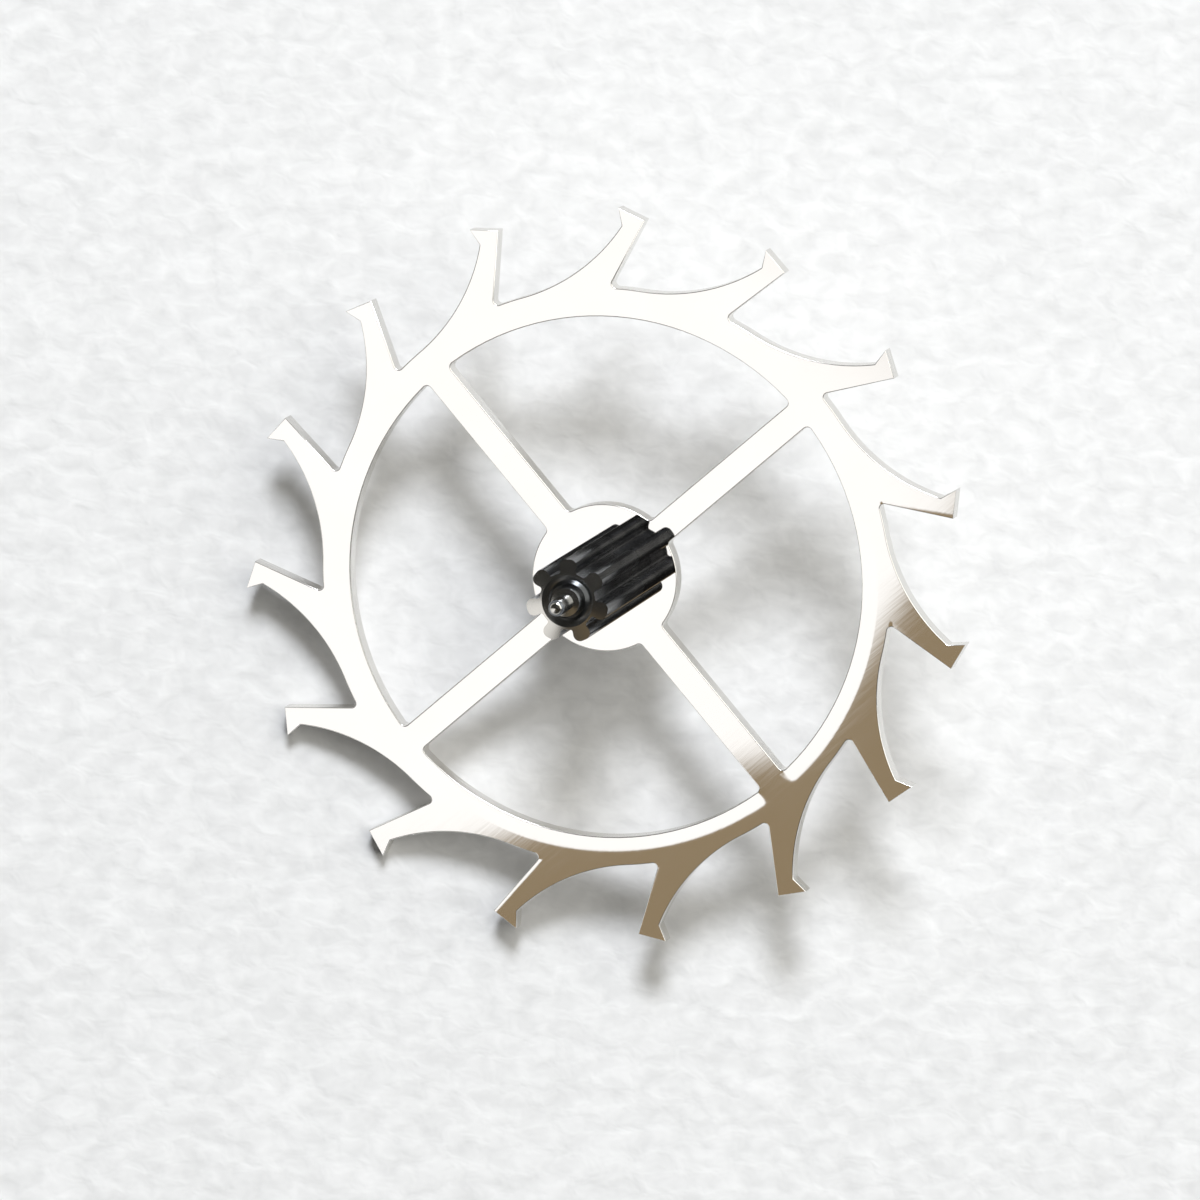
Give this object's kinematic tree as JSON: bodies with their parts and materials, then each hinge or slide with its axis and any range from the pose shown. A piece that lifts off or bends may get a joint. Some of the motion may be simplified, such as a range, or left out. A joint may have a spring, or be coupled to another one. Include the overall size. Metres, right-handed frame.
{
  "type": "escape wheel",
  "caption": "Club-toothed steel escape wheel staked on its pinion, whose arbor runs in jewels on two pivots; it lets a lever escapement take the train's force tooth by tooth.",
  "frame": {"origin": "on the axis, at the shoulder of the lower pivot", "axes": "+Z along the arbor towards the pinion's free end; +X along one crossing of the wheel; angles go anticlockwise as seen from +Z"},
  "size_m": [0.005, 0.005, 0.0022],
  "materials": {
    "wheel_steel": "flat polished hardened steel, mirror bright on the upper face",
    "pinion_steel": "burnished hardened steel, dark where it mirrors dark surroundings"
  },
  "bodies": {
    "root": {"escape_wheel": "wheel_steel", "escape_pinion": "pinion_steel"}
  },
  "joints": []
}
